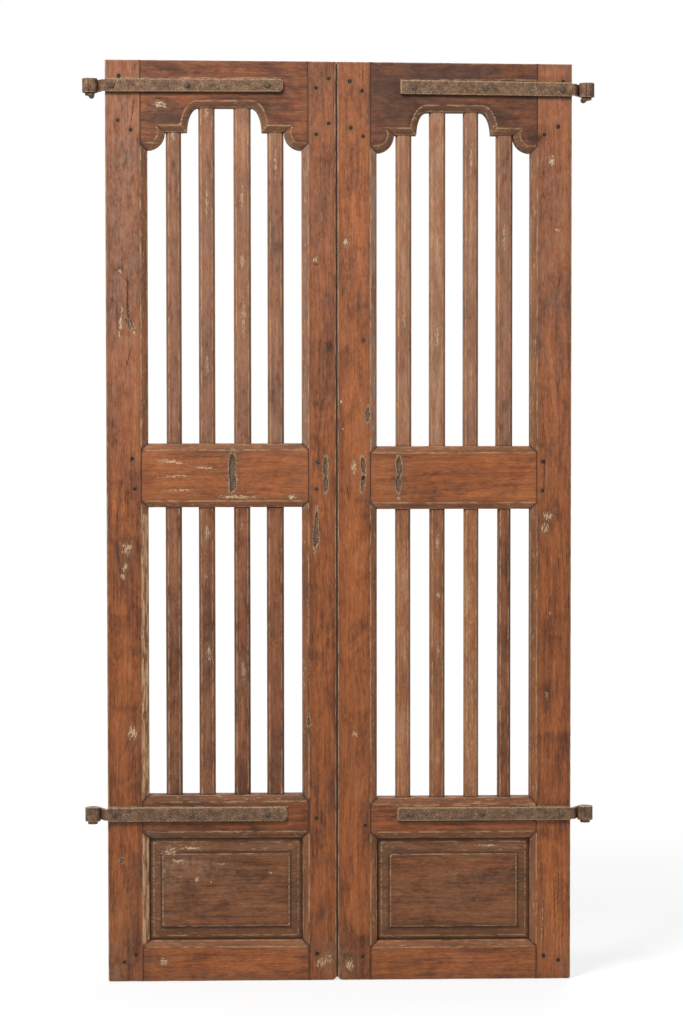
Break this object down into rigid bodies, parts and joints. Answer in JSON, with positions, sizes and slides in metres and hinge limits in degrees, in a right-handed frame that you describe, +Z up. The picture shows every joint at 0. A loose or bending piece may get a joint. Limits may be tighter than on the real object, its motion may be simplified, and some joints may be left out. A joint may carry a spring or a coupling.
{
  "type": "pair of hinged barred door leaves",
  "caption": "Old carved wooden door pair: framed leaves with upright bars under a cusped arch, raised lower panels, and iron strap hinges on pintles.",
  "frame": {"origin": "on the floor, at the middle of the footprint of the whole pair", "axes": "+Z up, -Y towards the viewer on the strap side, +X to the viewer's right"},
  "size_m": [1.0226, 0.081, 1.845],
  "materials": {
    "framing_teak": "aged teak, waxed and worn, matt",
    "panel_teak": "aged teak, dusty, matt",
    "bar_teak": "aged teak with pale worn arrises, matt",
    "peg_wood": "dark end grain",
    "forged_iron": "hand-forged, brown rust and dust",
    "nail_iron": "hand-forged nail heads, brown rust"
  },
  "bodies": {
    "pintles": {"left_top_pintle": "forged_iron", "left_bottom_pintle": "forged_iron", "right_top_pintle": "forged_iron", "right_bottom_pintle": "forged_iron"},
    "left_leaf": {"left_hinge_stile": "framing_teak", "left_meeting_stile": "framing_teak", "left_top_rail": "framing_teak", "left_lock_rail": "framing_teak", "left_lower_rail": "framing_teak", "left_bottom_rail": "framing_teak", "left_panel": "panel_teak", "left_upper_bar_1": "bar_teak", "left_upper_bar_2": "bar_teak", "left_upper_bar_3": "bar_teak", "left_upper_bar_4": "bar_teak", "left_lower_bar_1": "bar_teak", "left_lower_bar_2": "bar_teak", "left_lower_bar_3": "bar_teak", "left_lower_bar_4": "bar_teak", "left_tenon_pegs": "peg_wood", "left_top_strap": "forged_iron", "left_top_strap_nails": "nail_iron", "left_bottom_strap": "forged_iron", "left_bottom_strap_nails": "nail_iron"},
    "right_leaf": {"right_hinge_stile": "framing_teak", "right_meeting_stile": "framing_teak", "right_top_rail": "framing_teak", "right_lock_rail": "framing_teak", "right_lower_rail": "framing_teak", "right_bottom_rail": "framing_teak", "right_panel": "panel_teak", "right_upper_bar_1": "bar_teak", "right_upper_bar_2": "bar_teak", "right_upper_bar_3": "bar_teak", "right_upper_bar_4": "bar_teak", "right_lower_bar_1": "bar_teak", "right_lower_bar_2": "bar_teak", "right_lower_bar_3": "bar_teak", "right_lower_bar_4": "bar_teak", "right_tenon_pegs": "peg_wood", "right_top_strap": "forged_iron", "right_top_strap_nails": "nail_iron", "right_bottom_strap": "forged_iron", "right_bottom_strap_nails": "nail_iron"}
  },
  "joints": [
    {"name": "left_leaf_swing", "type": "hinge", "parent": "pintles", "child": "left_leaf", "pos_m": [-0.49585, -0.022, 0.338], "axis": [0, 0, -1], "range_deg": [0, 110]},
    {"name": "right_leaf_swing", "type": "hinge", "parent": "pintles", "child": "right_leaf", "pos_m": [0.49585, -0.022, 0.336], "axis": [0, 0, 1], "range_deg": [0, 110]}
  ]
}
